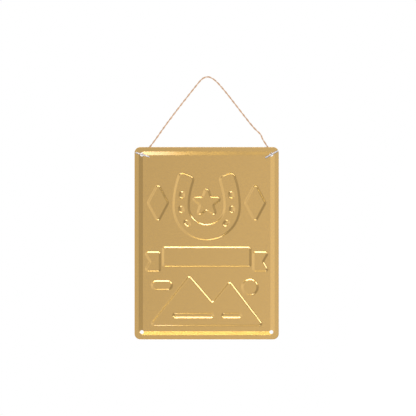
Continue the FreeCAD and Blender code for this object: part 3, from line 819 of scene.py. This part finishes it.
class SIGN_OT_hanging_cord(bpy.types.Operator):
    """Lays the twisted cord from bar to bar over the place of its hook"""

    bl_idname = "hanging_sign.hanging_cord"
    bl_label = "Hanging Cord"

    def execute(self, context):
        sizes, colours = context.scene.sign_sizes, context.scene.sign_colours
        line = cord_line()
        evaluated = line.evaluated_get(context.evaluated_depsgraph_get())
        path = [tuple(v.co) for v in bpy.data.meshes.new_from_object(evaluated).vertices]
        material = twine_fibre(colours)
        twine = twine_tree(material)
        layer = line.modifiers.new("twine", "NODES")
        layer.node_group = twine.tree
        layer[twine.identifiers["Twist Pitch"]] = sizes.twist_pitch
        layer[twine.identifiers["Loose Fibres"]] = sizes.fibre_count
        cord = baked(line, "twisted_cord", [material])
        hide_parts("hanging_cord")
        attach(cord, BODY)
        return {"FINISHED"}


# The rolled bars.

BAR_PIECES = {"left_toggle": "left_rolled_bar", "right_toggle": "right_rolled_bar"}


def bar_stations():
    """(place along the bar, outer radius, inner radius, half opening of the seam) in turn."""
    end, flare = BAR_LENGTH / 2, WAIST_LENGTH / 2 + WAIST_TAPER
    edge, edge_steps, inner_share = 0.07, 4, 0.6
    seam, mouth, mouth_end, mouth_taper = 0.08, 1.2, 1.35, 0.5
    stations = []
    for index in range(edge_steps + 1):
        turn = math.pi / 2 * index / edge_steps
        lost = edge * (1 - math.sin(turn))
        stations.append((-end + edge * (1 - math.cos(turn)), BAR_RADIUS - lost,
                         BAR_RADIUS - BAR_WALL + lost * inner_share, seam))
    steps = 44
    for index in range(1, steps):
        place = -end + edge + (2 * end - 2 * edge) * index / steps
        near = abs(place)
        pinch = min(1.0, max(0.0, (flare - near) / WAIST_TAPER))
        pinch = pinch * pinch * (3 - 2 * pinch)
        outer = BAR_RADIUS + (WAIST_RADIUS - BAR_RADIUS) * pinch
        gape = min(1.0, max(0.0, (mouth_end - near) / mouth_taper))
        opening = seam + mouth * gape * gape * (3 - 2 * gape)
        stations.append((place, outer, outer - BAR_WALL, opening))
    far_end = [(-place, *rest) for place, *rest in stations[edge_steps::-1]]
    return stations + far_end


def rolled_bar_mesh(name):
    """A tube rolled from strip, its seam and the cord's opening on the side of the sheet."""
    around = 56
    builder = bmesh.new()
    rows = []
    for place, outer, inner, opening in bar_stations():
        row = []
        for radius, backwards in ((outer, False), (inner, True)):
            for index in range(around + 1):
                share = index / around
                angle = opening + (math.tau - 2 * opening) * (1 - share if backwards else share)
                spot = Vector((place, radius * math.cos(angle), radius * math.sin(angle)))
                row.append(builder.verts.new(spot))
        rows.append(row)
    for first, second in zip(rows, rows[1:]):
        for index in range(len(first)):
            builder.faces.new((first[index - 1], first[index], second[index], second[index - 1]))
    last = 2 * around + 1
    for row in (rows[0], rows[-1]):
        for index in range(around):
            builder.faces.new(
                (row[index], row[index + 1], row[last - index - 1], row[last - index]))
    bmesh.ops.recalc_face_normals(builder, faces=builder.faces)
    low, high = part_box(name)
    slope, lean = BAR_POSES[name]
    turned = Matrix.Rotation(lean, 4, "Z") @ Matrix.Rotation(slope, 4, "Y")
    slid = Matrix.Translation((BAR_SLIDES[name], 0.0, 0.0))
    builder.transform(Matrix.Translation((low + high) / 2) @ turned @ Matrix.Scale(MM, 4) @ slid)
    mesh = bpy.data.meshes.new(BAR_PIECES[name])
    builder.to_mesh(mesh)
    builder.free()
    mesh.shade_smooth()
    mesh.set_sharp_from_angle(angle=math.radians(50))
    return mesh


class SIGN_OT_rolled_bars(bpy.types.Operator):
    """Rolls the two nickel bars that hold the cord's ends"""

    bl_idname = "hanging_sign.rolled_bars"
    bl_label = "Rolled Bars"

    def execute(self, context):
        nickel = nickel_plate(context.scene.sign_colours)
        for node, name in BAR_PIECES.items():
            bar = new_object(name, rolled_bar_mesh(node), [nickel])
            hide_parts(node)
            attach(bar, BODY)
        return {"FINISHED"}


# The sheet.

def corner_punch():
    """Cylinders through the sheet at its four corner holes."""
    punch_length = 0.01
    builder = bmesh.new()
    for across in (-1, 1):
        for up in (-1, 1):
            spot = SHEET_MIDDLE + Vector((
                across * (SHEET_WIDTH / 2 - HOLE_INSET) * MM, 0.0,
                up * (SHEET_HEIGHT / 2 - HOLE_INSET) * MM))
            bmesh.ops.create_cone(
                builder, cap_ends=True, segments=72, radius1=HOLE_RADIUS * MM,
                radius2=HOLE_RADIUS * MM, depth=punch_length,
                matrix=Matrix.Translation(spot) @ Matrix.Rotation(math.pi / 2, 4, "X"))
    mesh = bpy.data.meshes.new("corner_punch")
    builder.to_mesh(mesh)
    builder.free()
    return mesh


class SIGN_OT_pressed_sheet(bpy.types.Operator):
    """Presses the tin sheet with its border, relief, turned edge and corner holes"""

    bl_idname = "hanging_sign.pressed_sheet"
    bl_label = "Pressed Sheet"

    def execute(self, context):
        sizes = context.scene.sign_sizes
        skin = pressed_skin(sizes)
        base = SHEET_LOW.y + GAUGE / 2 * MM
        points = []
        for x, depth, z in skin.points:
            wave = sizes.dent_depth * dent(x, z)
            points.append((SHEET_MIDDLE.x + x * MM, base + depth * MM + wave,
                           SHEET_MIDDLE.z + z * MM))
        mesh = bpy.data.meshes.new("sheet_skin")
        mesh.from_pydata(points, [], skin.faces)
        builder = bmesh.new()
        builder.from_mesh(mesh)
        bmesh.ops.recalc_face_normals(builder, faces=builder.faces)
        builder.to_mesh(mesh)
        builder.free()
        materials = [gold_lacquer(context.scene.sign_colours), bare_edge()]
        flat = new_object("sheet_skin", mesh, materials)
        wall = flat.modifiers.new("gauge", "SOLIDIFY")
        wall.thickness = GAUGE * MM
        wall.offset = 0.0
        wall.use_even_offset = True
        wall.material_offset_rim = 1
        punch = new_object("corner_punch", corner_punch(), [materials[1]])
        holes = flat.modifiers.new("holes", "BOOLEAN")
        holes.operation = "DIFFERENCE"
        holes.object = punch
        holes.solver = "EXACT"
        holes.material_mode = "TRANSFER"
        sheet = baked(flat, "pressed_sheet", materials)
        bpy.data.objects.remove(punch)
        sheet.data.shade_smooth()
        sheet.data.set_sharp_from_angle(angle=math.radians(40))
        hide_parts("sign_plate")
        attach(sheet, BODY)
        return {"FINISHED"}


# The stage.

def softbox(name, place, width, height, power):
    """A white area lamp aimed at the sheet's middle."""
    lamp = bpy.data.lights.new(name, "AREA")
    lamp.shape = "RECTANGLE"
    lamp.size, lamp.size_y = width, height
    lamp.energy = power
    holder = bpy.data.objects.new(name, lamp)
    bpy.context.scene.collection.objects.link(holder)
    holder.location = place
    holder.rotation_euler = (SHEET_MIDDLE - Vector(place)).to_track_quat("-Z", "Y").to_euler()


def studio_world():
    """White for the camera and behind the sign, with a studio before it, darker to the left."""
    world = bpy.data.worlds.new("studio")
    bpy.context.scene.world = world
    world.use_nodes = True
    nodes, links = world.node_tree.nodes, world.node_tree.links
    background = nodes["Background"]
    place = nodes.new("ShaderNodeTexCoord")
    axes = nodes.new("ShaderNodeSeparateXYZ")
    links.new(place.outputs["Generated"], axes.inputs[0])
    left_to_right = between(
        nodes, links, axes.outputs["X"], LEFT_LEVEL, RIGHT_LEVEL, -0.26, 0.22)
    low_to_high = between(
        nodes, links, axes.outputs["Z"], LOW_LEVEL, HIGH_LEVEL, -0.15, 0.95)
    shade_below = between(nodes, links, axes.outputs["Z"], BELOW_LEVEL, 1.0, -0.6, -0.2)
    behind = between(nodes, links, axes.outputs["Y"], 0.0, 1.0, -0.2, 0.3)
    rays = nodes.new("ShaderNodeLightPath").outputs["Is Camera Ray"]

    def joined(operation, first, second):
        node = nodes.new("ShaderNodeMath")
        node.operation = operation
        links.new(first, node.inputs[0])
        links.new(second, node.inputs[1])
        return node.outputs[0]

    studio = joined("MULTIPLY", left_to_right, low_to_high)
    level = joined("MULTIPLY", joined("MAXIMUM", studio, behind), shade_below)
    background.inputs["Color"].default_value = (1.0, 1.0, 1.0, 1.0)
    links.new(joined("MAXIMUM", level, rays), background.inputs["Strength"])


def pale_floor():
    """A plain floor well below the hanging sign."""
    builder = bmesh.new()
    spot = Vector((SHEET_MIDDLE.x, 0.0, CAD_BOX[0][2] - FLOOR_DROP))
    bmesh.ops.create_circle(builder, cap_ends=True, segments=96, radius=FLOOR_REACH,
                            matrix=Matrix.Translation(spot))
    mesh = bpy.data.meshes.new("floor")
    builder.to_mesh(mesh)
    builder.free()
    material, nodes, links, principled = shader("pale_floor", Roughness=0.7)
    shade = between(nodes, links, speckle(nodes, links, 30.0), 0.0, 1.0)
    colour = tinted(nodes, links, shade, (0.86, 0.86, 0.86), (0.84, 0.84, 0.84))
    links.new(colour, principled.inputs["Base Color"])
    new_object("floor", mesh, [material])


class SIGN_OT_studio(bpy.types.Operator):
    """Sets up the camera, the lamps, the white surroundings and the floor"""

    bl_idname = "hanging_sign.studio"
    bl_label = "Studio"

    def execute(self, context):
        lens = bpy.data.cameras.new("camera")
        lens.sensor_width = 36.0
        lens.lens = lens.sensor_width * CAMERA_DISTANCE / (IMAGE_WIDTH * PIXEL)
        camera = bpy.data.objects.new("camera", lens)
        context.scene.collection.objects.link(camera)
        camera.location = VIEW_MIDDLE - Vector((0.0, CAMERA_DISTANCE, 0.0))
        camera.rotation_euler = (math.pi / 2, 0.0, 0.0)
        context.scene.camera = camera
        context.scene.view_settings.view_transform = "Standard"
        for lamp in LAMPS:
            softbox(*lamp)
        studio_world()
        pale_floor()
        return {"FINISHED"}


class SIGN_PT_parts(bpy.types.Panel):
    """Lists the sign's sizes, colours and pieces"""

    bl_idname = "SIGN_PT_parts"
    bl_label = "Hanging Metal Sign"
    bl_space_type = "VIEW_3D"
    bl_region_type = "UI"
    bl_category = "Sign"

    def draw(self, context):
        layout = self.layout
        for group in (context.scene.sign_sizes, context.scene.sign_colours):
            for name in type(group).__annotations__:
                layout.prop(group, name)
        for operator in OPERATORS:
            layout.operator(operator.bl_idname)


OPERATORS = (
    SIGN_OT_studio,
    SIGN_OT_rolled_bars,
    SIGN_OT_hanging_cord,
    SIGN_OT_pressed_sheet,
)
CLASSES = (SignSizes, SignColours, *OPERATORS, SIGN_PT_parts)


def register():
    for cls in CLASSES:
        bpy.utils.register_class(cls)
    bpy.types.Scene.sign_sizes = PointerProperty(type=SignSizes)
    bpy.types.Scene.sign_colours = PointerProperty(type=SignColours)


def unregister():
    del bpy.types.Scene.sign_colours
    del bpy.types.Scene.sign_sizes
    for cls in reversed(CLASSES):
        bpy.utils.unregister_class(cls)


def main():
    register()
    bpy.ops.hanging_sign.studio()
    bpy.ops.hanging_sign.rolled_bars()
    bpy.ops.hanging_sign.hanging_cord()
    bpy.ops.hanging_sign.pressed_sheet()


if __name__ == "__main__":
    main()
